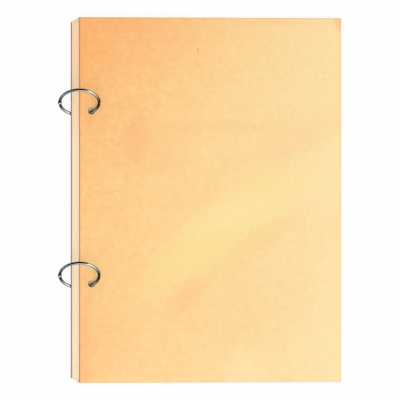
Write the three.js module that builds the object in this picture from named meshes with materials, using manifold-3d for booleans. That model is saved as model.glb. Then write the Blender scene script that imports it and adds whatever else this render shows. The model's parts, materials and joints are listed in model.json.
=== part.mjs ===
// Loose-leaf sketchbook: two board covers and a block of drawing leaves on two hinged metal rings.
// Millimetres. +X runs from the spine to the fore edge, +Y to the head, +Z up through the front cover.
// The book lies on its back cover. Its rings reach below that cover, so it rests on both rings and on
// the cover's fore edge, and leans by the small angle that this gives.
import * as THREE from 'three';
import { mergeVertices } from 'three/addons/utils/BufferGeometryUtils.js';
import Module from 'manifold-3d';

const wasm = await Module();
wasm.setup();

const degree = Math.PI / 180;
const quarterTurn = Math.PI / 2;

// Leaves and covers
const pageWidth = 228.6;
const pageHeight = 304.8;
const leafCount = 20;
const leafThickness = 0.12;
const leafGap = 0.04;
const boardThickness = 1;
// How far the front cover lies towards the fore edge of the back cover, with the leaves fanned between
const spineFan = 6;
// Trim across the spine corners of the leaves and the back cover. The front cover's corners are square.
const cornerTrimWidth = 7;
const cornerTrimHeight = 4.2;

// Punched holes
const holeToSpine = 10.49;
const holeToHead = 79.52;
const holeSpacing = 144.05;
// How far a hole's centre lies off the middle of the wire, towards the spine and towards the head.
// That leaves room for the ring as it stands up, and in the front cover as that turns on the ring.
const leafRoomX = 0.32;
const leafRoomY = 0.74;
const leafClearance = 0.35;
const coverRoomX = 0.35;
const coverRoomY = 1.04;
const coverClearance = 0.16;

// Rings
const ringOuterDiameter = 35.1;
const wireDiameter = 2.35;
// The gap between the wire at its lowest and the underside of the back cover
const underGap = 0.5;
// A ring's plane leans towards the head and turns up from the back cover towards the fore edge
const ringLean = 39 * degree;
const ringTurn = 16.7 * degree;

// Hinge at the spine end of a ring: two flat lugs, one on each half, lapped on a rivet
const lugRadius = 1.5;
const lugSplit = 0.2;
const lugClearance = 0.25;
const rivetRadius = 0.5;
const rivetFit = 0.1;
const rivetHeadRadius = 0.95;
const rivetHeadHeight = 0.4;
const rivetSeat = 0.04;

// Snap closure at the other end: a flat tongue on the upper half enters a slot in the lower half
const closureSplit = 0.2;
const tongueThickness = 0.75;
const tongueWidth = 1.6;
const tongueLength = 2.2;
const tongueRoot = 0.7;
const tongueNose = 0.4;
const slotSideClearance = 0.15;
const slotEndClearance = 0.35;

// Facets
const holeCurveSegments = 14;
const wireSides = 12;
const ringSteps = 30;
const roundSides = 24;
const rivetSides = 16;
const headArcSteps = 4;
// How far a cutting tool runs past what it cuts
const overrun = 1;

const paper = new THREE.MeshStandardMaterial({ color: 0xf6d3ac, roughness: 0.9, metalness: 0 });
const frontBoard = new THREE.MeshStandardMaterial({ color: 0xf8cf8c, roughness: 0.85, metalness: 0 });
const backBoard = new THREE.MeshStandardMaterial({ color: 0xe6b483, roughness: 0.85, metalness: 0 });
const chrome = new THREE.MeshStandardMaterial({ color: 0xd9d9de, roughness: 0.18, metalness: 1 });

// Derived sizes
const wireRadius = wireDiameter / 2;
const ringRadius = (ringOuterDiameter - wireDiameter) / 2;
const leafPitch = leafThickness + leafGap;

// The ring's plane: across is its level-looking axis, rise points from its hinge line to its top
const ringTilt = new THREE.Euler(quarterTurn - ringLean, -ringTurn, 0, 'YXZ');
const across = new THREE.Vector3(1, 0, 0).applyEuler(ringTilt);
const rise = new THREE.Vector3(0, 1, 0).applyEuler(ringTilt);

// A point on the centre line of a ring, from the ring's centre, and the direction of the wire there
function ringPoint(phase) {
  return across.clone().multiplyScalar(Math.cos(phase) * ringRadius)
    .addScaledVector(rise, Math.sin(phase) * ringRadius);
}

function ringDirection(phase) {
  return across.clone().multiplyScalar(-Math.sin(phase)).addScaledVector(rise, Math.cos(phase));
}

// The ring's highest phase and how far its centre line reaches above and below its centre
const topPhase = Math.atan2(rise.z, across.z);
const ringReach = Math.hypot(across.z, rise.z) * ringRadius;
const lowestPoint = ringPoint(topPhase + Math.PI);

// The phase where the wire comes down through a level, which is measured from the ring's centre
function phaseAtLevel(level) {
  return topPhase - Math.acos(level / ringReach);
}

// Layers of the stack, from the back cover up, each with its underside, thickness and fan offset
function stackLayers() {
  const layers = [{ name: 'back_cover', bottom: 0, thickness: boardThickness }];
  for (let i = 0; i < leafCount; i += 1) {
    const number = String(i + 1).padStart(2, '0');
    const bottom = boardThickness + leafGap + i * leafPitch;
    layers.push({ name: `leaf_${number}`, bottom, thickness: leafThickness });
  }
  const frontBottom = boardThickness + leafGap + leafCount * leafPitch;
  layers.push({ name: 'front_cover', bottom: frontBottom, thickness: boardThickness });
  for (const layer of layers) layer.offset = spineFan * layer.bottom / frontBottom;
  return layers;
}

const layers = stackLayers();
const ringCentreLevel = ringReach + wireRadius - underGap - wireDiameter;

// Where the wire's outline meets the faces of some layers, each moved back by its layer's fan offset
function wireOutlines(sheets) {
  const points = [];
  for (const layer of sheets) {
    for (const level of [layer.bottom, layer.bottom + layer.thickness]) {
      const phase = phaseAtLevel(level - ringCentreLevel);
      const centre = ringPoint(phase);
      const along = ringDirection(phase);
      const run = Math.hypot(along.x, along.y);
      const longRadius = wireRadius / Math.abs(along.z);
      for (let side = 0; side < roundSides; side += 1) {
        const turn = 2 * Math.PI * side / roundSides;
        const far = longRadius * Math.cos(turn) / run;
        const near = wireRadius * Math.sin(turn) / run;
        points.push(new THREE.Vector2(
          centre.x + far * along.x - near * along.y - layer.offset,
          centre.y + far * along.y + near * along.x,
        ));
      }
    }
  }
  return points;
}

// A round hole that clears the wire in those layers. Its centre is measured from the ring's.
function clearHole(sheets, roomX, roomY, clearance) {
  const outlines = wireOutlines(sheets);
  const centre = new THREE.Box2().setFromPoints(outlines).getCenter(new THREE.Vector2());
  centre.x -= roomX;
  centre.y += roomY;
  const spread = Math.max(...outlines.map((point) => point.distanceTo(centre)));
  return { centre, radius: spread + clearance };
}

// The leaves and the back cover are punched alike, and the front cover's holes are smaller
const leafHole = clearHole(layers.slice(0, -1), leafRoomX, leafRoomY, leafClearance);
const coverHole = clearHole(layers.slice(-1), coverRoomX, coverRoomY, coverClearance);
const ringX = holeToSpine - leafHole.centre.x;
const upperRing = pageHeight / 2 - holeToHead - leafHole.centre.y;
const ringHeights = [upperRing, upperRing - holeSpacing];

// One sheet, with its spine edge at x = 0 and the middle of its height at y = 0
function sheet(thickness, punched, trimWidth, trimHeight) {
  const half = pageHeight / 2;
  const outline = new THREE.Shape();
  outline.moveTo(pageWidth, -half);
  outline.lineTo(pageWidth, half);
  outline.lineTo(trimWidth, half);
  if (trimHeight > 0) {
    outline.lineTo(0, half - trimHeight);
    outline.lineTo(0, trimHeight - half);
  }
  outline.lineTo(trimWidth, -half);
  for (const height of ringHeights) {
    const hole = new THREE.Path();
    const level = height + punched.centre.y;
    hole.absarc(ringX + punched.centre.x, level, punched.radius, 0, 2 * Math.PI, true);
    outline.holes.push(hole);
  }
  return new THREE.ExtrudeGeometry(outline, {
    depth: thickness, bevelEnabled: false, curveSegments: holeCurveSegments,
  });
}

// A closed three.js geometry as a solid that can be cut, and back
function toSolid(geometry) {
  const plain = geometry.clone();
  plain.deleteAttribute('normal');
  plain.deleteAttribute('uv');
  const merged = mergeVertices(plain);
  return new wasm.Manifold(new wasm.Mesh({
    numProp: 3,
    vertProperties: new Float32Array(merged.attributes.position.array),
    triVerts: new Uint32Array(merged.index.array),
  }));
}

function toGeometry(solid) {
  const mesh = solid.getMesh();
  const geometry = new THREE.BufferGeometry();
  geometry.setAttribute('position', new THREE.BufferAttribute(mesh.vertProperties, 3));
  geometry.setIndex(new THREE.BufferAttribute(mesh.triVerts, 1));
  geometry.computeVertexNormals();
  return geometry;
}

// The centre line of one half of a ring, in the ring's own plane
class HalfRing extends THREE.Curve {
  constructor(start, end) {
    super();
    this.start = start;
    this.end = end;
  }

  getPoint(share) {
    const phase = this.start + (this.end - this.start) * share;
    return new THREE.Vector3(Math.cos(phase) * ringRadius, Math.sin(phase) * ringRadius, 0);
  }
}

// Bent wire between two phases
function wire(start, end) {
  const section = new THREE.Shape();
  section.absarc(0, 0, wireRadius, 0, 2 * Math.PI, false);
  return toSolid(new THREE.ExtrudeGeometry(section, {
    steps: ringSteps, curveSegments: wireSides / 2, extrudePath: new HalfRing(start, end),
  }));
}

// A round plate or bore about the rivet, between two heights over the ring's plane
function roundAtHinge(radius, low, high) {
  const round = new THREE.CylinderGeometry(radius, radius, high - low, roundSides);
  round.rotateX(quarterTurn);
  round.translate(-ringRadius, 0, (low + high) / 2);
  return toSolid(round);
}

// Ends one half in its lug. side is 1 for the half whose lug lies above the ring's plane, -1 for below.
function withLug(half, side) {
  const inner = side * lugSplit / 2;
  const outer = side * wireRadius;
  const past = -side * (wireRadius + overrun);
  const lug = roundAtHinge(lugRadius, Math.min(inner, outer), Math.max(inner, outer));
  const room = roundAtHinge(lugRadius + lugClearance, Math.min(inner, past), Math.max(inner, past));
  const reach = wireRadius + overrun;
  const bore = roundAtHinge(rivetRadius + rivetFit, -reach, reach);
  return half.add(lug).subtract(room).subtract(bore);
}

// The flat tongue of the upper half, with a bevelled nose that points down into the slot
function tongue() {
  const half = tongueWidth / 2;
  const blade = new THREE.Shape();
  blade.moveTo(ringRadius - half, tongueRoot);
  blade.lineTo(ringRadius - half, tongueNose - tongueLength);
  blade.lineTo(ringRadius - half + tongueNose, -tongueLength);
  blade.lineTo(ringRadius + half - tongueNose, -tongueLength);
  blade.lineTo(ringRadius + half, tongueNose - tongueLength);
  blade.lineTo(ringRadius + half, tongueRoot);
  const solid = new THREE.ExtrudeGeometry(blade, { depth: tongueThickness, bevelEnabled: false });
  solid.translate(0, 0, -tongueThickness / 2);
  return toSolid(solid);
}

// The slot of the lower half, open to both sides of the wire
function slot() {
  const depth = tongueLength + slotEndClearance;
  const cut = new THREE.BoxGeometry(
    wireDiameter + 2 * overrun,
    depth + overrun,
    tongueThickness + 2 * slotSideClearance,
  );
  cut.translate(ringRadius, (overrun - depth) / 2, 0);
  return toSolid(cut);
}

const closurePhase = closureSplit / 2 / ringRadius;
const lowerHalf = toGeometry(
  withLug(wire(Math.PI, 2 * Math.PI - closurePhase).subtract(slot()), -1),
);
const upperHalf = toGeometry(
  withLug(wire(closurePhase, Math.PI).add(tongue()), 1),
);

// A rivet with two domed heads, standing through both lugs
function rivet() {
  const seat = wireRadius + rivetSeat;
  const dome = [];
  for (let step = 0; step <= headArcSteps; step += 1) {
    const turn = quarterTurn * step / headArcSteps;
    const out = step === headArcSteps ? 0 : rivetHeadRadius * Math.cos(turn);
    dome.push(new THREE.Vector2(out, seat + rivetHeadHeight * Math.sin(turn)));
  }
  const foot = dome.map((point) => new THREE.Vector2(point.x, -point.y)).reverse();
  const shank = [new THREE.Vector2(rivetRadius, -seat), new THREE.Vector2(rivetRadius, seat)];
  const solid = new THREE.LatheGeometry([...foot, ...shank, ...dome], rivetSides);
  solid.rotateX(quarterTurn);
  solid.translate(-ringRadius, 0, 0);
  return solid;
}

const rivetGeometry = rivet();

function named(name, geometry, material) {
  const mesh = new THREE.Mesh(geometry, material);
  mesh.name = name;
  return mesh;
}

// The closed book, with the underside of the back cover at z = 0 and its spine edge at x = 0
const book = new THREE.Group();
for (const layer of layers) {
  const front = layer.name === 'front_cover';
  const back = layer.name === 'back_cover';
  const geometry = front
    ? sheet(layer.thickness, coverHole, 0, 0)
    : sheet(layer.thickness, leafHole, cornerTrimWidth, cornerTrimHeight);
  const board = front ? frontBoard : backBoard;
  const mesh = named(layer.name, geometry, front || back ? board : paper);
  mesh.position.set(layer.offset, 0, layer.bottom);
  book.add(mesh);
}

for (const [index, height] of ringHeights.entries()) {
  const ring = new THREE.Group();
  const name = `ring_${index + 1}`;
  ring.add(named(`${name}_lower_half`, lowerHalf, chrome));
  ring.add(named(`${name}_upper_half`, upperHalf, chrome));
  ring.add(named(`${name}_rivet`, rivetGeometry, chrome));
  ring.rotation.copy(ringTilt);
  ring.position.set(ringX, height, ringCentreLevel);
  book.add(ring);
}

// The book settles on its rings and fore edge, and stands over the middle of its own footprint
const drop = underGap + wireDiameter;
book.rotation.y = Math.atan2(drop, pageWidth - ringX - lowestPoint.x);
const extent = new THREE.Box3().setFromObject(book, true);
const middle = extent.getCenter(new THREE.Vector3());
book.position.set(-middle.x, -middle.y, -extent.min.z);

const sketchbook = new THREE.Group();
sketchbook.add(book);

export default sketchbook;
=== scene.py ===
"""Dresses the packed sketchbook: board covers, drawing leaves, and two hinged wire rings.

Sizes are in millimetres, apart from the stage's floor and lamp. The packed frame is in metres, with +X from
the spine to the fore edge, +Y to the head and +Z up through the front cover.
"""

import json
import math

import bmesh
import bpy
from bpy.props import FloatProperty, FloatVectorProperty, IntProperty, PointerProperty
from mathutils import Matrix, Vector


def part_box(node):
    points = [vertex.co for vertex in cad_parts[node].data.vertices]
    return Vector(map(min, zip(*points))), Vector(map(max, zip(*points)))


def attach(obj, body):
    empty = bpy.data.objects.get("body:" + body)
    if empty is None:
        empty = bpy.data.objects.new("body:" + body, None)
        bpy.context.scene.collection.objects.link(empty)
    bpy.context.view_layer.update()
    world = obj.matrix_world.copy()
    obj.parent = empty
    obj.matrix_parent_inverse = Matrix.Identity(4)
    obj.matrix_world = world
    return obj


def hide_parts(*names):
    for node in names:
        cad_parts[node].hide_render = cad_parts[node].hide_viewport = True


bl_info = {
    "name": "Loose-leaf Sketchbook",
    "version": (1, 0, 0),
    "blender": (4, 5, 0),
    "location": "3D View > Sidebar > Sketchbook",
    "description": "Dresses a sketchbook with board covers on two hinged rings",
    "category": "Add Mesh",
}

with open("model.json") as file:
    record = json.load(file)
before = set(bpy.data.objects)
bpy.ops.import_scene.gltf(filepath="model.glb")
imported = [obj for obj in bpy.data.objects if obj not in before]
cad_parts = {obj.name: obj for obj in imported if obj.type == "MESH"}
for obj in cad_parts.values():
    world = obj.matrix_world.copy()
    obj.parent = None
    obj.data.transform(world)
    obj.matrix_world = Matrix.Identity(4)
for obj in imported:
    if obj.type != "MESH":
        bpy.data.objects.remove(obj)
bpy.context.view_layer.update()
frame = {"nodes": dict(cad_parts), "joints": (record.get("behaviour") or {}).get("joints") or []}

MM = 0.001
LEAVES = sorted(name for name in frame["nodes"] if name.startswith("leaf_"))
RINGS = ("ring_1", "ring_2")
JOINTS = {joint["name"]: joint for joint in frame["joints"]}


def book_tilt():
    """The angle at which the covers lean down towards the fore edge, from the slope of the back cover."""
    low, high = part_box("back_cover")
    near = 2 * MM
    corners = [v.co for v in frame["nodes"]["back_cover"].data.vertices]
    spine = min(co.z for co in corners if co.x < low.x + near)
    fore = min(co.z for co in corners if co.x > high.x - near)
    return math.asin((spine - fore) / (PAGE_WIDTH * MM))


def page_size():
    """Width and height of the packed sheets, in millimetres."""
    low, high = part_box("leaf_01")
    return math.hypot(high.x - low.x, high.z - low.z) / MM, (high.y - low.y) / MM


PAGE_WIDTH, PAGE_HEIGHT = page_size()
TILT = book_tilt()


# Shader graphs


def srgb(red, green, blue):
    """A colour as it is read off a screen, 0 to 255, for a colour property."""
    shares = (red / 255, green / 255, blue / 255)
    return tuple(s / 12.92 if s <= 0.04045 else ((s + 0.055) / 1.055) ** 2.4 for s in shares)


class Value:
    """A number socket. Python's operators on it add Math nodes."""

    def __init__(self, graph, socket):
        self.graph = graph
        self.socket = socket

    def math(self, operation, *values):
        return self.graph.node("ShaderNodeMath", {"operation": operation}, dict(enumerate(values)))

    def __add__(self, other):
        return self.math("ADD", self, other)

    def __sub__(self, other):
        return self.math("SUBTRACT", self, other)

    def __mul__(self, other):
        return self.math("MULTIPLY", self, other)

    def __rsub__(self, other):
        return self.math("SUBTRACT", other, self)

    __radd__ = __add__
    __rmul__ = __mul__

    def smaller(self, other):
        return self.math("MINIMUM", self, other)

    def larger(self, other):
        return self.math("MAXIMUM", self, other)

    def sway(self, amount, middle=0.5):
        """Noise as a change to both sides of 0, with amount from its lowest to its highest."""
        return (self - middle) * amount

    def rise(self, low, high):
        """0 below low, 1 above high, and a smooth step between them."""
        return self.graph.node(
            "ShaderNodeMapRange",
            {"interpolation_type": "SMOOTHSTEP", "clamp": True},
            {"Value": self, "From Min": low, "From Max": high},
        )

    def fall(self, low, high):
        """1 below low, 0 above high."""
        return 1 - self.rise(low, high)


class Graph:
    """The node tree of a material or of the world."""

    def __init__(self, owner):
        owner.use_nodes = True
        self.owner = owner
        self.tree = owner.node_tree
        self.tree.nodes.clear()

    def node(self, kind, settings=None, inputs=None, out=0):
        """One node: its settings first, then the values or links of its sockets."""
        made = self.tree.nodes.new(kind)
        for key, value in (settings or {}).items():
            if key == "stops":
                ramp = made.color_ramp
                while len(ramp.elements) < len(value):
                    ramp.elements.new(1)
                for element, (place, colour) in zip(ramp.elements, value):
                    element.position = place
                    element.color = (*colour, 1)
            else:
                setattr(made, key, value)
        for key, value in (inputs or {}).items():
            socket = made.inputs[key]
            if isinstance(value, Value):
                self.tree.links.new(value.socket, socket)
            elif socket.type == "RGBA" and len(value) == 3:
                socket.default_value = (*value, 1)
            else:
                socket.default_value = value
        return Value(self, made.outputs[out]) if made.outputs else None

    def mix(self, share, low, high):
        """A colour between low and high."""
        return self.node("ShaderNodeMix", {"data_type": "RGBA"}, {0: share, 6: low, 7: high}, 2)

    def tint(self, colour, amount):
        """A colour times a grey amount."""
        return self.node("ShaderNodeVectorMath", {"operation": "SCALE"}, {0: colour, 3: amount})

    def place(self, size, turn=0):
        """Coordinates on the piece, in steps of size millimetres, with the steps turned about Z."""
        at = self.node("ShaderNodeTexCoord", out="Object")
        return self.node(
            "ShaderNodeMapping", {"vector_type": "TEXTURE"},
            {"Vector": at, "Rotation": (0, 0, turn), "Scale": [side * MM for side in size]},
        )

    def noise(self, place, detail=2.0, roughness=0.5):
        """Noise from 0 to 1, with about one lump to a step of place."""
        return self.node(
            "ShaderNodeTexNoise", {},
            {"Vector": place, "Scale": 1.0, "Detail": detail, "Roughness": roughness},
        )

    def grain(self, length, width, turn, detail=2.0):
        """Noise drawn out into fibres of that length and width, in millimetres."""
        return self.noise(self.place((length, width, width), turn), detail)

    def bump(self, height, depth):
        """The normal of a surface with a relief of that depth, in millimetres."""
        return self.node(
            "ShaderNodeBump", {}, {"Strength": 1.0, "Distance": depth * MM, "Height": height}
        )

    def finish(self, colour, roughness, **inputs):
        """Ends the material in a Principled surface. Names of inputs have spaces for underscores."""
        values = {"Base Color": colour, "Roughness": roughness}
        values.update({key.replace("_", " "): value for key, value in inputs.items()})
        surface = self.node("ShaderNodeBsdfPrincipled", {}, values)
        self.node("ShaderNodeOutputMaterial", {}, {"Surface": surface})
        return self.owner


def sheet_shares(graph):
    """Where a point is on its own sheet: 0 to 1 from the spine, and 0 to 1 down from the head."""
    at = graph.node("ShaderNodeTexCoord", out="Generated")
    across, up = [graph.node("ShaderNodeSeparateXYZ", {}, {0: at}, axis) for axis in (0, 1)]
    return across, 1 - up


def cloud(shares, centre, size, turn=0):
    """A soft oval patch on a sheet. Centre in shares, length and width in millimetres, turn in degrees."""
    length, width = size
    cosine, sine = math.cos(math.radians(turn)), math.sin(math.radians(turn))
    right = (shares[0] - centre[0]) * PAGE_WIDTH
    below = (shares[1] - centre[1]) * PAGE_HEIGHT
    along = right * (cosine / length) - below * (sine / length)
    over = right * (sine / width) + below * (cosine / width)
    return (along * along + over * over).fall(0, 1)


def clouds(patches):
    """Several clouds in one, the strongest at each point. A patch is a cloud's values and its strength."""
    total = None
    for *values, strength in patches:
        patch = cloud(*values) * strength
        total = patch if total is None else total.larger(patch)
    return total


# Materials

# What the larger of two fibre noises comes to on average
FIBRE_MIDDLE = 0.56


def cover_stock(name, settings, outward):
    """Mottled board: painted shading from warm at the spine to cream at the fore edge, with clouds, grain
    and darker margins.

    outward is 1 for the front cover. The back cover's stock is the same, mirrored head to foot.
    """
    graph = Graph(bpy.data.materials.new(name))
    across, down = sheet_shares(graph)
    if outward < 0:
        down = 1 - down
    wander = graph.noise(graph.place((110, 45, 45), math.radians(35)), 3.0, 0.55)
    ripple = graph.noise(graph.place((14, 9, 9), math.radians(30)), 3.0, 0.6)
    pulp = graph.noise(graph.place((5.5, 4.5, 4.5)), 4.0, 0.65)
    # Down the spine the painted shading lightens as well, fast below the head and then slowly
    fast = (down - 0.05) * 0.95
    slow = down * 0.27 + 0.2
    share = across + (1 - across) * fast.smaller(slow)
    share = share + (wander.sway(0.7) + ripple.sway(0.65)) * settings.mottling
    share = share + pulp.sway(settings.pulp)
    # Painted shading: the colour ramps from warm at the spine to cream at the fore edge
    stops = ((0.0, settings.spine_side), (0.45, settings.middle), (1.0, settings.fore_side))
    colour = graph.node("ShaderNodeValToRGB", {"stops": stops}, {0: share})

    # Loose clouds have wandering outlines, level ones wander only up and down, and fixed ones don't
    over = across + wander.sway(0.1) + ripple.sway(0.05)
    under = down + ripple.sway(0.06)
    loose, level, fixed = (over, under), (across, under), (across, down)
    straw = clouds([(loose, (0.57, 0.58), (115, 34), 33, 0.6)])
    pale = clouds([
        (loose, (1.0, 0.43), (65, 34), 33, 1.0),
        (loose, (0.60, 0.54), (55, 16), 20, 0.8),
        (loose, (0.63, 1.0), (30, 38), 0, 1.0),
        (loose, (1.0, 0.88), (50, 95), 0, 0.8),
    ])
    blush = clouds([
        (loose, (0.22, 0.335), (18, 28), 0, 0.85),
        (loose, (0.26, 0.37), (48, 26), 0, 0.3),
        (fixed, (0.1, 0.0), (150, 60), 0, 0.5),
        (fixed, (0.0, 0.93), (16, 95), 0, 0.9),
        (loose, (0.08, 0.9), (40, 34), 0, 0.35),
        (level, (0.6, 0.298), (110, 6), 0, 0.25),
        (loose, (0.84, 0.33), (60, 20), 24, 0.25),
        (loose, (0.65, 0.63), (85, 11), 33, 0.3),
        (loose, (0.40, 0.765), (28, 14), 45, 0.5),
        (loose, (0.70, 0.76), (70, 60), 0, 0.15),
        (fixed, (0.7, 0.0), (110, 10), 0, 0.3),
        # Painted shade: the next cloud darkens the head corner at the fore edge, where the front cover is
        # bent up
        (fixed, (1.0, 0.0), (9, 14), 0, 1.0),
    ])
    colour = graph.mix(straw, colour, settings.straw)
    colour = graph.mix(pale * 0.45, colour, settings.pale)
    colour = graph.mix(blush * 0.5, colour, settings.blush)

    fibre = graph.grain(3.5, 0.4, math.radians(20)).larger(graph.grain(3, 0.35, math.radians(-52)))
    fleck = graph.grain(1.6, 1.2, 0, 3.0)
    tone = 1 + fibre.sway(settings.fibre, FIBRE_MIDDLE) + fleck.sway(settings.fleck)
    colour = graph.tint(colour, tone)
    colour = graph.mix(fleck.rise(0.45, 0.75) * settings.freckle, colour, settings.spine_side)
    speck = cloud(fixed, (0.4515, 0.0875), (1.2, 1.9))
    colour = graph.tint(graph.mix(speck * 0.75, colour, settings.spine_side), 1 - speck * 0.12)

    # Darker brown margins, strongest along the spine
    ragged = graph.grain(6, 1, 0).sway(0.5)
    margin = settings.margin
    spine = (across * PAGE_WIDTH + ragged).fall(0.45 * margin, margin)
    head = (down * PAGE_HEIGHT + ragged).fall(0.3 * margin, 1.1 * margin)
    fore = ((1 - across) * PAGE_WIDTH + ragged).fall(0, 2 * margin)
    foot = ((1 - down) * PAGE_HEIGHT + ragged).fall(0, 1.2 * margin)
    colour = graph.mix(spine * 0.85, colour, settings.edge_brown)
    colour = graph.mix(head * (0.45 - across * 0.25), colour, settings.edge_brown)
    colour = graph.mix(fore * (0.6 - down * 0.4), colour, settings.blush)
    colour = graph.mix(foot * 0.15, colour, settings.edge_brown)

    rough = 0.62 + fleck.sway(0.2) - spine * 0.1
    relief = fibre * 0.6 + fleck * 0.4
    return graph.finish(colour, rough, Normal=graph.bump(relief, settings.relief))


def lining_stock(name, settings):
    """The cream inner face of a cover, darker brown along its spine edge."""
    graph = Graph(bpy.data.materials.new(name))
    across = sheet_shares(graph)[0]
    fibre = graph.grain(4, 0.4, math.radians(8)).larger(graph.grain(3, 0.4, math.radians(-61)))
    shade = graph.noise(graph.place((70, 50, 50)), 3.0)
    colour = graph.mix(shade.rise(0.3, 0.75), settings.lining, settings.lining_shade)
    colour = graph.tint(colour, 1 + fibre.sway(settings.fibre, FIBRE_MIDDLE))
    spine = (across * PAGE_WIDTH).fall(0.6 * settings.margin, 1.1 * settings.margin)
    colour = graph.tint(graph.mix(spine, colour, settings.edge_brown), 1 - spine * 0.3)
    return graph.finish(colour, 0.72 + fibre.sway(0.2), Normal=graph.bump(fibre, settings.relief))


def cut_board(name, settings):
    """The brown cut edge of a board, with its plies. Inside the punched holes it is painted pale, as
    painted light against the shade in the holes.
    """
    graph = Graph(bpy.data.materials.new(name))
    across, down = sheet_shares(graph)
    plies = graph.noise(graph.place((17, 17, 0.11)), 2.0, 0.7)
    worn = graph.noise(graph.place((3.3, 3.3, 1.1)), 3.0)
    colour = graph.mix(plies.rise(0.35, 0.7), settings.edge_brown, settings.ply)
    from_side = across.smaller(1 - across) * PAGE_WIDTH
    from_end = down.smaller(1 - down) * PAGE_HEIGHT
    # Painted light: the walls of the punched holes get the pale lining colour, to lift the shade in them
    punched = from_side.smaller(from_end).rise(1, 2)
    colour = graph.mix(punched, colour, settings.lining)
    colour = graph.tint(colour, 0.9 + worn * 0.2)
    relief = plies * 0.7 + worn * 0.3
    return graph.finish(colour, 0.7 + worn.sway(0.2), Normal=graph.bump(relief, 0.06))


def drawing_paper(name, settings, seed):
    """Toothed drawing paper, warmer along its cut spine edge."""
    graph = Graph(bpy.data.materials.new(name))
    across, down = sheet_shares(graph)
    tooth = graph.noise(graph.place((0.67, 0.67, 0.67)), 3.0, 0.6)
    felt = graph.grain(5, 0.6, math.radians(12 + 40 * seed))
    drift = graph.noise(graph.place((125, 90, 17), 0.6 * seed))
    colour = graph.mix(drift.rise(0.35, 0.7), settings.sheet, settings.sheet_shade)
    toned = graph.mix(down.rise(0.1, 0.4), settings.edge_head, settings.edge_foot)
    colour = graph.mix((across * PAGE_WIDTH).fall(0.6, 2.2), colour, toned)
    # A cut edge shows the leaves as layers, and not the fibres of their faces
    face = (across.smaller(1 - across) * PAGE_WIDTH).rise(0.1, 0.5)
    layers = graph.noise(graph.place((30, 30, 0.22)), 2.0, 0.6).sway(1 - face)
    felt = 0.5 + felt.sway(face)
    tone = 1 + tooth.sway(0.05) + felt.sway(0.05) + layers * 0.16 + 0.004 * (seed - 1)
    relief = tooth * 0.75 + felt * 0.25
    return graph.finish(
        graph.tint(colour, tone), 0.82 + tooth.sway(0.15), Normal=graph.bump(relief, settings.tooth)
    )


def ring_chrome(name, settings):
    """Bright plated wire with faint drawing marks, with a painted dark reflection where it is seen at a
    slant.
    """
    graph = Graph(bpy.data.materials.new(name))
    drawn = graph.noise(graph.place((1.1, 1.1, 0.4)), 2.0, 0.6)
    hazed = graph.noise(graph.place((6, 6, 6)), 3.0)
    colour = graph.mix(hazed.rise(0.35, 0.75), settings.chrome, settings.chrome_haze)
    # Painted reflection: the base colour turns near black where the wire is seen at a slant. The same dark
    # colour is the plating's edge tint.
    slant = graph.node("ShaderNodeLayerWeight", {}, {"Blend": 0.5}, "Facing")
    colour = graph.mix(slant.rise(0.08, 0.44), colour, settings.chrome_painted_rim)
    rough = settings.polish + hazed.rise(0.4, 0.8) * 0.05 + drawn.sway(0.04)
    return graph.finish(
        colour, rough, Metallic=1.0, Specular_Tint=tuple(settings.chrome_painted_rim),
        Normal=graph.bump(drawn, 0.003),
    )


def rivet_steel(name, settings):
    """Rivet metal, duller than the wire, with the marks of its setting punch."""
    graph = Graph(bpy.data.materials.new(name))
    struck = graph.noise(graph.place((0.45, 0.45, 0.45)), 3.0)
    colour = graph.mix(struck.rise(0.35, 0.7), settings.rivet_colour, settings.chrome)
    return graph.finish(
        colour, 0.24 + struck.sway(0.2), Metallic=1.0, Normal=graph.bump(struck, 0.01)
    )


# Mesh code

# In millimetres: how far a cutting solid reaches past what it cuts, and the chamfer on its own rims
CLEAR = 1
SHARP = 0.001


def shaped(name, mesh_maker, matrix, angle=35):
    """A new object from a bmesh, moved by matrix, with smooth faces and sharp edges over an angle."""
    mesh = bpy.data.meshes.new(name)
    mesh_maker.transform(matrix)
    mesh_maker.to_mesh(mesh)
    mesh_maker.free()
    mesh.shade_smooth()
    mesh.set_sharp_from_angle(angle=math.radians(angle))
    piece = bpy.data.objects.new(name, mesh)
    bpy.context.scene.collection.objects.link(piece)
    return piece


def circle(centre, radius, sides):
    """Points round a circle."""
    turns = [2 * math.pi * side / sides for side in range(sides)]
    return [(centre[0] + radius * math.cos(t), centre[1] + radius * math.sin(t)) for t in turns]


def moved_in(loop, amount, side):
    """A closed outline moved by amount to its left for side 1, or to its right for -1."""
    # Past this cosine a sharp corner's mitre is cut short
    sharpest = 0.3
    moved = []
    for index, point in enumerate(loop):
        before = Vector(point) - Vector(loop[index - 1])
        after = Vector(loop[(index + 1) % len(loop)]) - Vector(point)
        normals = [Vector((-d.y, d.x)).normalized() for d in (before, after)]
        mitre = (normals[0] + normals[1]).normalized()
        reach = amount * side / max(mitre.dot(normals[0]), sharpest)
        moved.append((point[0] + mitre.x * reach, point[1] + mitre.y * reach))
    return moved


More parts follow.
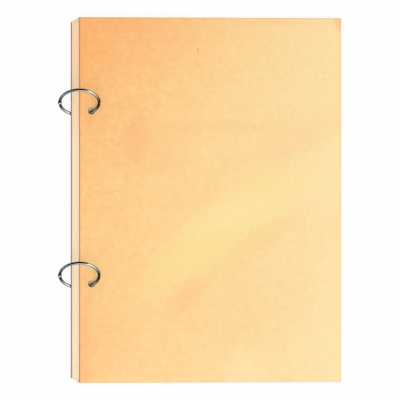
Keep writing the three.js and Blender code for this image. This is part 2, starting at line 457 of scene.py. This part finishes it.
def sheet_mesh(outline, holes, thickness, rounding):
    """A flat sheet with holes, whose rims are rounded over. The outline runs anticlockwise."""
    made = bmesh.new()
    steps = 3
    profile = []
    for step in range(steps + 1):
        turn = math.pi / 2 * step / steps
        profile.append((rounding * (1 - math.sin(turn)), rounding * (1 - math.cos(turn))))
    sections = profile + [(inset, thickness - level) for inset, level in reversed(profile)]
    caps = ([], [])
    for loop, side in [(outline, 1)] + [(hole, -1) for hole in holes]:
        rows = []
        for inset, level in sections:
            rows.append([made.verts.new((x, y, level)) for x, y in moved_in(loop, inset, side)])
        for lower, upper in zip(rows, rows[1:]):
            for index in range(len(loop)):
                corners = (lower[index - 1], lower[index], upper[index], upper[index - 1])
                made.faces.new(corners)
        for cap, row in zip(caps, (rows[0], rows[-1])):
            cap.extend(made.edges.get((row[index - 1], row[index])) for index in range(len(row)))
    for edges in caps:
        bmesh.ops.triangle_fill(made, use_beauty=True, edges=edges)
    bmesh.ops.recalc_face_normals(made, faces=made.faces)
    return made


def cut_lines(made, places, axis):
    """Cuts the whole mesh along lines square to axis, so that it can bend there."""
    normal = Vector((axis == 0, axis == 1, 0))
    for place in places:
        bmesh.ops.bisect_plane(
            made, geom=made.verts[:] + made.edges[:] + made.faces[:], dist=1e-5,
            plane_co=normal * place, plane_no=normal,
        )


def tube(settings, start, end, chamfered_end):
    """Bent wire between two phases in the ring's plane, with a chamfer on one end."""
    made = bmesh.new()
    radius, wire = settings.ring_radius(), settings.wire / 2
    steps, sides = settings.arc_steps, settings.wire_sides
    phases = [(start + (end - start) * step / steps, wire) for step in range(steps + 1)]
    chamfer = 0.14
    turn = chamfer / radius
    if chamfered_end == "end":
        phases[-1:] = [(end - turn, wire), (end, wire - chamfer)]
    else:
        phases[:1] = [(start, wire - chamfer), (start + turn, wire)]
    rows = []
    for phase, size in phases:
        out = Vector((math.cos(phase), math.sin(phase), 0))
        section = circle((radius, 0), size, sides)
        rows.append([made.verts.new(out * far + Vector((0, 0, up))) for far, up in section])
    for one, two in zip(rows, rows[1:]):
        for side in range(sides):
            made.faces.new((one[side - 1], one[side], two[side], two[side - 1]))
    made.faces.new(rows[0])
    made.faces.new(list(reversed(rows[-1])))
    bmesh.ops.recalc_face_normals(made, faces=made.faces)
    return made


def turned(profile, centre, sides):
    """A solid of revolution about an upright line through centre. profile holds (radius, height) pairs."""
    made = bmesh.new()
    rows = []
    for radius, height in profile:
        if radius == 0:
            rows.append([made.verts.new((centre[0], centre[1], height))])
            continue
        rows.append([made.verts.new((x, y, height)) for x, y in circle(centre, radius, sides)])
    for one, two in zip(rows, rows[1:]):
        for side in range(sides):
            lower = [one[side - 1], one[side]] if len(one) > 1 else [one[0]]
            upper = [two[side], two[side - 1]] if len(two) > 1 else [two[0]]
            made.faces.new(lower + upper)
    bmesh.ops.recalc_face_normals(made, faces=made.faces)
    return made


def plate(low, high, radius, centre, chamfer=SHARP, sides=48):
    """A round plate with chamfered rims."""
    return turned(
        [(0, low), (radius - chamfer, low), (radius, low + chamfer), (radius, high - chamfer),
         (radius - chamfer, high), (0, high)], centre, sides,
    )


def prism(outline, low, high):
    """An outline in the ring's plane, made solid between two heights."""
    made = bmesh.new()
    base = [made.verts.new((x, y, low)) for x, y in outline]
    top = [made.verts.new((x, y, high)) for x, y in outline]
    for index in range(len(outline)):
        made.faces.new((base[index - 1], base[index], top[index], top[index - 1]))
    made.faces.new(base)
    made.faces.new(list(reversed(top)))
    bmesh.ops.recalc_face_normals(made, faces=made.faces)
    return made


def combined(body, steps):
    """Adds or cuts solids in order, and returns the result as a bmesh. All of it is in millimetres."""
    identity = Matrix.Identity(4)
    target = shaped("blank", body, identity)
    tools = []
    for operation, solid in steps:
        tool = shaped("tool", solid, identity)
        modifier = target.modifiers.new(operation, "BOOLEAN")
        modifier.operation = operation
        modifier.solver = "EXACT"
        modifier.object = tool
        tools.append(tool)
    bpy.context.view_layer.update()
    done = target.evaluated_get(bpy.context.evaluated_depsgraph_get())
    made = bmesh.new()
    made.from_mesh(done.to_mesh())
    done.to_mesh_clear()
    for used in [target, *tools]:
        mesh = used.data
        bpy.data.objects.remove(used)
        bpy.data.meshes.remove(mesh)
    weld = 0.002
    bmesh.ops.remove_doubles(made, verts=made.verts, dist=weld)
    return made


# Places in the frame


def sheet_matrix(node):
    """From a sheet's own millimetres, spine edge at x = 0 and underside at z = 0, to the frame."""
    low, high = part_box(node)
    turn = Matrix.Rotation(TILT, 4, "Y")
    corners = [turn.inverted() @ v.co for v in frame["nodes"][node].data.vertices]
    origin = Vector((min(c.x for c in corners), (low.y + high.y) / 2, min(c.z for c in corners)))
    return turn @ Matrix.Translation(origin) @ Matrix.Scale(MM, 4)


def sheet_points(node):
    """A packed sheet's corners in its own millimetres."""
    back = sheet_matrix(node).inverted()
    return [back @ v.co for v in frame["nodes"][node].data.vertices]


def sheet_thickness(node):
    """A packed sheet's thickness, in millimetres."""
    return max(point.z for point in sheet_points(node))


def punched_holes(node):
    """The outlines of a packed sheet's two holes, made rounder."""
    nearest, farthest, sides = 4, 40, 56
    reach = PAGE_HEIGHT / 2 - 20
    inner = [p for p in sheet_points(node) if nearest < p.x < farthest and abs(p.y) < reach]
    outlines = []
    for side in (1, -1):
        rim = [p for p in inner if p.y * side > 0]
        spans = [(min(values), max(values)) for values in ([p.x for p in rim], [p.y for p in rim])]
        centre = [(low + high) / 2 for low, high in spans]
        radius = max(math.hypot(p.x - centre[0], p.y - centre[1]) for p in rim)
        outlines.append(circle(centre, radius, sides))
    return outlines


def ring_matrix(ring, settings):
    """From a ring's own millimetres, centred in its plane with the hinge at -x, to the frame."""
    lean = Matrix.Rotation(math.pi / 2 - settings.lean, 4, "X")
    turn = Matrix.Rotation(TILT, 4, "Y") @ Matrix.Rotation(-settings.turn, 4, "Y") @ lean
    hinge = Vector(JOINTS[f"{ring}_open"]["pos_m"])
    centre = hinge + turn.to_3x3() @ Vector((settings.ring_radius() * MM, 0, 0))
    return Matrix.Translation(centre) @ turn @ Matrix.Scale(MM, 4)


# Settings


def colour_property(name, description, default):
    return FloatVectorProperty(
        name=name, description=description, default=default, subtype="COLOR", size=3, min=0, max=1
    )


def length_property(name, description, default, low=0.0):
    """A length in millimetres."""
    return FloatProperty(
        name=name, description=description + ", in millimetres", default=default, min=low, max=500.0
    )


class SketchbookBoards(bpy.types.PropertyGroup):
    """The two covers."""

    trim_width: length_property("Trim width", "Corner trim of the back cover along its head", 7.0)
    trim_height: length_property("Trim height", "Corner trim of the back cover along its spine", 4.2)
    rounding: length_property("Rim rounding", "How far a board's rims are rounded over", 0.12)
    corner_lift: length_property("Corner lift", "How far the front cover's head corner is bent up", 0.5)
    corner_reach: length_property("Corner reach", "How far the bent corner reaches in", 9.0)
    margin: length_property("Toned margin", "Width of the burnished margin at the spine", 0.85)
    relief: length_property("Relief", "Depth of the board's grain", 0.05)
    mottling: FloatProperty(name="Mottling", description="Strength of the broad clouds", default=0.22)
    pulp: FloatProperty(name="Pulp", description="Strength of the small clouds", default=0.72)
    fibre: FloatProperty(name="Fibre", description="Contrast of the fibres", default=0.14)
    fleck: FloatProperty(name="Fleck", description="Contrast of the fine mottling", default=0.08)
    freckle: FloatProperty(name="Freckle", description="Strength of the fine orange flecks", default=0.26)
    spine_side: colour_property("Spine side", "Stock near the head and spine", srgb(254, 176, 102))
    middle: colour_property("Middle", "Stock in the middle of the cover", srgb(254, 208, 139))
    fore_side: colour_property("Fore side", "Stock at the fore edge", srgb(254, 228, 170))
    straw: colour_property("Straw", "Yellow clouds in the stock", srgb(251, 229, 151))
    pale: colour_property("Pale", "Pale clouds in the stock", srgb(255, 233, 180))
    blush: colour_property("Blush", "Orange clouds in the stock", srgb(251, 178, 118))
    edge_brown: colour_property("Burnish", "Cut edges and toned margins", srgb(188, 113, 66))
    ply: colour_property("Ply", "Paler plies in the cut edge", srgb(204, 140, 94))
    lining: colour_property("Lining", "Inner faces of the covers", srgb(252, 229, 192))
    lining_shade: colour_property("Lining shade", "Darker parts of the lining", srgb(248, 220, 180))


class SketchbookPaper(bpy.types.PropertyGroup):
    """The drawing leaves."""

    tooth: length_property("Tooth", "Depth of the paper's tooth", 0.03)
    sheet: colour_property("Sheet", "Face of a leaf", srgb(252, 236, 212))
    sheet_shade: colour_property("Sheet shade", "Slightly darker parts of a leaf", srgb(249, 230, 203))
    edge_head: colour_property("Edge at head", "Spine edges near the head", srgb(255, 222, 187))
    edge_foot: colour_property("Edge at foot", "Spine edges near the foot", srgb(255, 235, 206))


class SketchbookRings(bpy.types.PropertyGroup):
    """The two hinged rings."""

    diameter: length_property("Ring diameter", "Outer diameter of a ring", 35.1)
    wire: length_property("Wire diameter", "Diameter of the ring wire", 2.35)
    lean: FloatProperty(
        name="Lean", description="Lean of the rings towards the head", default=math.radians(39),
        subtype="ANGLE",
    )
    turn: FloatProperty(
        name="Turn", description="Turn of the rings from the covers", default=math.radians(16.7),
        subtype="ANGLE",
    )
    lug: length_property("Lug radius", "Radius of the flat hinge lugs", 1.5)
    lug_split: length_property("Lug split", "Gap between the two lugs", 0.2)
    lug_room: length_property("Lug room", "Room round a lug in the other half", 0.25)
    rivet: length_property("Rivet radius", "Radius of the hinge rivet", 0.5)
    rivet_fit: length_property("Rivet fit", "Room round the rivet in the lugs", 0.1)
    head: length_property("Rivet head radius", "Radius of the rivet's heads", 0.95)
    head_height: length_property("Rivet head height", "Height of the rivet's heads", 0.4)
    seat: length_property("Rivet seat", "Gap between a lug and a rivet head", 0.04)
    split: length_property("Closure split", "Gap between the closed ends", 0.2)
    tongue: length_property("Tongue length", "Length of the closure's tongue", 2.2)
    tongue_width: length_property("Tongue width", "Width of the tongue", 1.6)
    tongue_thickness: length_property("Tongue thickness", "Thickness of the tongue", 0.75)
    slot_side: length_property("Slot side room", "Room beside the tongue in its slot", 0.15)
    slot_end: length_property("Slot end room", "Room past the tongue in its slot", 0.35)
    arc_steps: IntProperty(name="Arc steps", description="Steps along half a ring", default=64, min=8)
    wire_sides: IntProperty(name="Wire sides", description="Sides of the wire", default=32, min=8)
    polish: FloatProperty(name="Polish", description="Roughness of the chrome", default=0.06)
    chrome: colour_property("Chrome", "Plated wire", (0.56, 0.56, 0.58))
    chrome_haze: colour_property("Chrome haze", "Hazed parts of the plating", (0.50, 0.50, 0.53))
    # Painted dark reflection at the wire's rims, also used as the plating's edge tint
    chrome_painted_rim: colour_property("Chrome rim", "Plating seen at a slant", (0.006, 0.006, 0.008))
    rivet_colour: colour_property("Rivet", "Rivet metal", (0.60, 0.60, 0.62))

    def ring_radius(self):
        """Radius of the wire's centre line, in millimetres."""
        return (self.diameter - self.wire) / 2


class SketchbookStage(bpy.types.PropertyGroup):
    """Floor, light and camera."""

    focal_length: FloatProperty(
        name="Focal length", description="A very long lens, because the photograph has no perspective",
        default=1200.0, unit="CAMERA",
    )
    view_turn: FloatProperty(
        name="View turn", description="How far the view is turned to the spine side",
        default=math.radians(16.15), subtype="ANGLE",
    )
    view_width: length_property("View width", "Width of the view at the cover", 334.3)
    aim_right: length_property("Aim right", "Cover's centre, right of the picture's", 8.93, -500.0)
    aim_up: length_property("Aim up", "Cover's centre, above the picture's", -0.06, -500.0)
    floor: colour_property("Floor", "Floor and background", (1.0, 1.0, 1.0))
    dark: colour_property("Dark end", "The studio's dark end, seen in metal", (0.012, 0.012, 0.016))
    dark_side: FloatVectorProperty(
        name="Dark side", description="Direction of the studio's dark end", default=(-0.75, 0.52, 0.47),
        subtype="DIRECTION",
    )
    panel: FloatProperty(name="Light panel", description="The bright room, seen in metal", default=1.8)
    sky: FloatProperty(name="Sky", description="Even light from all round", default=0.74)
    key: FloatProperty(
        name="Key light", description="Power of the main light", default=13.0, unit="POWER"
    )
    key_size: FloatProperty(
        name="Key size", description="Width of the main light", default=1.4, unit="LENGTH"
    )
    key_place: FloatVectorProperty(
        name="Key place", description="Place of the main light", default=(-0.35, -0.45, 2.0),
        subtype="TRANSLATION",
    )


# Operators


class SKETCHBOOK_OT_front_board(bpy.types.Operator):
    """Makes the front cover: punched board with rounded rims and one slightly bent corner"""

    bl_idname = "sketchbook.front_board"
    bl_label = "Front Board"

    def execute(self, context):
        boards = context.scene.sketchbook_boards
        half = PAGE_HEIGHT / 2
        width = PAGE_WIDTH
        outline = [(0, -half), (width, -half), (width, half), (0, half)]
        made = sheet_mesh(
            outline, punched_holes("front_cover"), sheet_thickness("front_cover"), boards.rounding
        )
        reach, curve = boards.corner_reach, 1.6
        fractions = (0.2, 0.4, 0.6, 0.8, 1.0)
        cut_lines(made, [width - reach * f for f in fractions], 0)
        cut_lines(made, [half - reach * f for f in fractions], 1)
        for vert in made.verts:
            inside = reach - (width - vert.co.x) - (half - vert.co.y)
            if inside > 0:
                vert.co.z += boards.corner_lift * (inside / reach) ** curve
        board_piece("front_board", made, "front_cover", "front", boards, 1)
        return {"FINISHED"}


class SKETCHBOOK_OT_back_board(bpy.types.Operator):
    """Makes the back cover: punched board with rounded rims, trimmed across its spine corners"""

    bl_idname = "sketchbook.back_board"
    bl_label = "Back Board"

    def execute(self, context):
        boards = context.scene.sketchbook_boards
        half = PAGE_HEIGHT / 2
        width = PAGE_WIDTH
        across, along = boards.trim_width, boards.trim_height
        outline = [
            (width, -half), (width, half), (across, half), (0, half - along), (0, along - half),
            (across, -half),
        ]
        made = sheet_mesh(
            outline, punched_holes("back_cover"), sheet_thickness("back_cover"), boards.rounding
        )
        board_piece("back_board", made, "back_cover", "back", boards, -1)
        return {"FINISHED"}


def board_piece(name, made, node, body, boards, outward):
    """Puts a board in the frame with its outer face, lining and cut edges. outward is 1 for up."""
    piece = shaped(name, made, sheet_matrix(node))
    piece.data.materials.append(cover_stock(f"{name}_stock", boards, outward))
    piece.data.materials.append(lining_stock(f"{name}_lining", boards))
    piece.data.materials.append(cut_board(f"{name}_cut", boards))
    up = Matrix.Rotation(TILT, 3, "Y") @ Vector((0, 0, outward))
    for face in piece.data.polygons:
        facing = face.normal.dot(up)
        face.material_index = 0 if facing > 0.5 else 1 if facing < -0.5 else 2
    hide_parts(node)
    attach(piece, body)


class SKETCHBOOK_OT_leaves(bpy.types.Operator):
    """Gives the drawing leaves their paper, in three slightly different tints"""

    bl_idname = "sketchbook.leaves"
    bl_label = "Drawing Leaves"

    def execute(self, context):
        paper = context.scene.sketchbook_paper
        tints = [drawing_paper(f"drawing_paper_{seed}", paper, seed) for seed in range(3)]
        for index, name in enumerate(LEAVES):
            leaf = frame["nodes"][name]
            for slot in leaf.material_slots:
                slot.material = tints[index % 3]
        return {"FINISHED"}


class SKETCHBOOK_OT_rings(bpy.types.Operator):
    """Makes the ring halves: bent wire, lapped hinge lugs, and a tongue that closes into a slot"""

    bl_idname = "sketchbook.rings"
    bl_label = "Ring Halves"

    def execute(self, context):
        rings = context.scene.sketchbook_rings
        chrome = ring_chrome("ring_chrome", rings)
        for ring in RINGS:
            matrix = ring_matrix(ring, rings)
            for half, body, solid in (
                ("lower", "base", lower_half(rings)), ("upper", "gate", upper_half(rings)),
            ):
                piece = shaped(f"{ring}_{half}_wire", solid, matrix, 30)
                piece.data.materials.clear()
                piece.data.materials.append(chrome)
                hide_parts(f"{ring}_{half}_half")
                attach(piece, f"{ring}_{body}")
        return {"FINISHED"}


def hinge_steps(rings, side):
    """The solids that turn one end of a half into its lug. side is 1 above the ring's plane, -1 below."""
    centre = (-rings.ring_radius(), 0)
    chamfer = 0.12
    past = rings.wire / 2 + CLEAR
    lug = sorted((side * rings.lug_split / 2, side * rings.wire / 2))
    room = sorted((side * rings.lug_split / 2, -side * past))
    return [
        ("UNION", plate(*lug, rings.lug, centre, chamfer)),
        ("DIFFERENCE", plate(*room, rings.lug + rings.lug_room, centre)),
        ("DIFFERENCE", plate(-past, past, rings.rivet + rings.rivet_fit, centre, sides=32)),
    ]


def upper_half(rings):
    """The half with the tongue, and with its lug above the ring's plane."""
    radius, tip = rings.ring_radius(), -rings.tongue
    inner, outer = radius - rings.tongue_width / 2, radius + rings.tongue_width / 2
    nose, root = 0.4, 0.7
    blade = [
        (inner, root), (inner, nose + tip), (inner + nose, tip), (outer - nose, tip),
        (outer, nose + tip), (outer, root),
    ]
    half = rings.tongue_thickness / 2
    wire = tube(rings, rings.split / 2 / radius, math.pi, "start")
    return combined(wire, [("UNION", prism(blade, -half, half)), *hinge_steps(rings, 1)])


def lower_half(rings):
    """The half with the slot, and with its lug below the ring's plane."""
    radius = rings.ring_radius()
    depth = rings.tongue + rings.slot_end
    past = rings.wire / 2 + CLEAR
    room = rings.tongue_thickness / 2 + rings.slot_side
    mouth = [
        (radius - past, -depth), (radius + past, -depth), (radius + past, CLEAR), (radius - past, CLEAR),
    ]
    wire = tube(rings, math.pi, 2 * math.pi - rings.split / 2 / radius, "end")
    return combined(wire, [("DIFFERENCE", prism(mouth, -room, room)), *hinge_steps(rings, -1)])


class SKETCHBOOK_OT_rivets(bpy.types.Operator):
    """Makes the hinge rivets with their two domed heads"""

    bl_idname = "sketchbook.rivets"
    bl_label = "Hinge Rivets"

    def execute(self, context):
        rings = context.scene.sketchbook_rings
        steel = rivet_steel("rivet_steel", rings)
        seat = rings.wire / 2 + rings.seat
        top, steps, fullness = rings.head_height, 8, 0.8
        turns = [math.pi / 2 * step / steps for step in range(steps)]
        dome = [(rings.head * math.cos(t) ** fullness, seat + top * math.sin(t)) for t in turns]
        dome.append((0, seat + top))
        foot = [(out, -height) for out, height in reversed(dome)]
        profile = foot + [(rings.rivet, -seat), (rings.rivet, seat)] + dome
        for ring in RINGS:
            solid = turned(profile, (-rings.ring_radius(), 0), 32)
            piece = shaped(f"{ring}_rivet_body", solid, ring_matrix(ring, rings), 40)
            piece.data.materials.append(steel)
            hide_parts(f"{ring}_rivet")
            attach(piece, f"{ring}_base")
        return {"FINISHED"}


class SKETCHBOOK_OT_stage(bpy.types.Operator):
    """Sets the white floor, the studio light and the camera"""

    bl_idname = "sketchbook.stage"
    bl_label = "Stage"

    def execute(self, context):
        stage = context.scene.sketchbook_stage
        lay_floor(stage)
        light_studio(context.scene, stage)
        set_camera(context.scene, stage)
        context.scene.view_settings.view_transform = "Standard"
        return {"FINISHED"}


def seen_directly(graph):
    """1 for camera, glossy and transmission rays."""
    camera = graph.node("ShaderNodeLightPath", out="Is Camera Ray")
    glossy = graph.node("ShaderNodeLightPath", out="Is Glossy Ray")
    through = graph.node("ShaderNodeLightPath", out="Is Transmission Ray")
    return camera.larger(glossy).larger(through)


def lay_floor(stage):
    """A white floor that keeps the object's shadow."""
    half_width, gap = 3, 0.05 * MM
    made = bmesh.new()
    bmesh.ops.create_grid(made, x_segments=8, y_segments=8, size=half_width)
    floor = shaped("floor", made, Matrix.Translation((0, 0, -gap)))
    graph = Graph(bpy.data.materials.new("floor_white"))
    paint, glowing = (0.95, 0.95, 0.95), 0.9
    lit = graph.node("ShaderNodeBsdfDiffuse", {}, {"Color": paint})
    glow = graph.node("ShaderNodeEmission", {}, {"Color": stage.floor, "Strength": 1.0})
    share = seen_directly(graph) * glowing
    surface = graph.node("ShaderNodeMixShader", {}, {0: share, 1: lit, 2: glow})
    graph.node("ShaderNodeOutputMaterial", {}, {"Surface": surface})
    floor.data.materials.append(graph.owner)


def light_studio(scene, stage):
    """Even light all round, one large soft key, and a dark end of the room that only metal shows."""
    world = bpy.data.worlds.new("studio")
    scene.world = world
    graph = Graph(world)
    direction = graph.node("ShaderNodeTexCoord", out="Generated")
    dark_side = Vector(stage.dark_side).normalized()
    towards = graph.node(
        "ShaderNodeVectorMath", {"operation": "DOT_PRODUCT"}, {0: direction, 1: dark_side}, "Value"
    )
    glossy = graph.node("ShaderNodeLightPath", out="Is Glossy Ray")
    panel = graph.tint(stage.floor, stage.panel)
    room = graph.mix(towards.rise(0.05, 0.22), panel, stage.dark)
    even = graph.tint(stage.floor, stage.sky)
    colour = graph.mix(seen_directly(graph), even, stage.floor)
    colour = graph.mix(glossy, colour, room)
    background = graph.node("ShaderNodeBackground", {}, {"Color": colour, "Strength": 1.0})
    graph.node("ShaderNodeOutputWorld", {}, {"Surface": background})

    key = bpy.data.lights.new("key_light", "AREA")
    key.shape = "DISK"
    key.size = stage.key_size
    key.energy = stage.key
    lamp = bpy.data.objects.new("key_light", key)
    scene.collection.objects.link(lamp)
    lamp.location = stage.key_place
    lamp.rotation_euler = (-lamp.location).to_track_quat("-Z", "Y").to_euler()
    lamp.visible_camera = False
    lamp.visible_glossy = False


def set_camera(scene, stage):
    """A far camera, turned to the spine side, that frames the book as in the photograph."""
    data = bpy.data.cameras.new("camera")
    data.lens = stage.focal_length
    data.sensor_width = 36
    camera = bpy.data.objects.new("camera", data)
    scene.collection.objects.link(camera)
    turn = Matrix.Rotation(-stage.view_turn, 4, "Y")
    distance = stage.view_width * MM * data.lens / data.sensor_width
    middle = Vector((PAGE_WIDTH / 2, 0, sheet_thickness("front_cover")))
    top = sheet_matrix("front_cover") @ middle
    aim = Matrix.Translation((-stage.aim_right * MM, -stage.aim_up * MM, distance))
    camera.matrix_world = Matrix.Translation(top) @ turn @ aim
    data.clip_end = 2 * distance
    scene.camera = camera


class SKETCHBOOK_PT_panel(bpy.types.Panel):
    """Lists the steps and the settings in the sidebar"""

    bl_idname = "SKETCHBOOK_PT_panel"
    bl_label = "Sketchbook"
    bl_space_type = "VIEW_3D"
    bl_region_type = "UI"
    bl_category = "Sketchbook"

    def draw(self, context):
        for step in STEPS:
            self.layout.operator(step.bl_idname)
        for settings in SETTINGS:
            box = self.layout.box()
            box.label(text=settings.__doc__)
            group = getattr(context.scene, SETTINGS[settings])
            for key in settings.__annotations__:
                box.prop(group, key)


SETTINGS = {
    SketchbookBoards: "sketchbook_boards",
    SketchbookPaper: "sketchbook_paper",
    SketchbookRings: "sketchbook_rings",
    SketchbookStage: "sketchbook_stage",
}
STEPS = (
    SKETCHBOOK_OT_front_board,
    SKETCHBOOK_OT_back_board,
    SKETCHBOOK_OT_leaves,
    SKETCHBOOK_OT_rings,
    SKETCHBOOK_OT_rivets,
    SKETCHBOOK_OT_stage,
)


def register():
    for settings, name in SETTINGS.items():
        bpy.utils.register_class(settings)
        setattr(bpy.types.Scene, name, PointerProperty(type=settings))
    for step in STEPS:
        bpy.utils.register_class(step)
    bpy.utils.register_class(SKETCHBOOK_PT_panel)


def unregister():
    bpy.utils.unregister_class(SKETCHBOOK_PT_panel)
    for step in reversed(STEPS):
        bpy.utils.unregister_class(step)
    for settings, name in reversed(SETTINGS.items()):
        delattr(bpy.types.Scene, name)
        bpy.utils.unregister_class(settings)


def main():
    register()
    bpy.ops.sketchbook.front_board()
    bpy.ops.sketchbook.back_board()
    bpy.ops.sketchbook.leaves()
    bpy.ops.sketchbook.rings()
    bpy.ops.sketchbook.rivets()
    bpy.ops.sketchbook.stage()


if __name__ == "__main__":
    main()
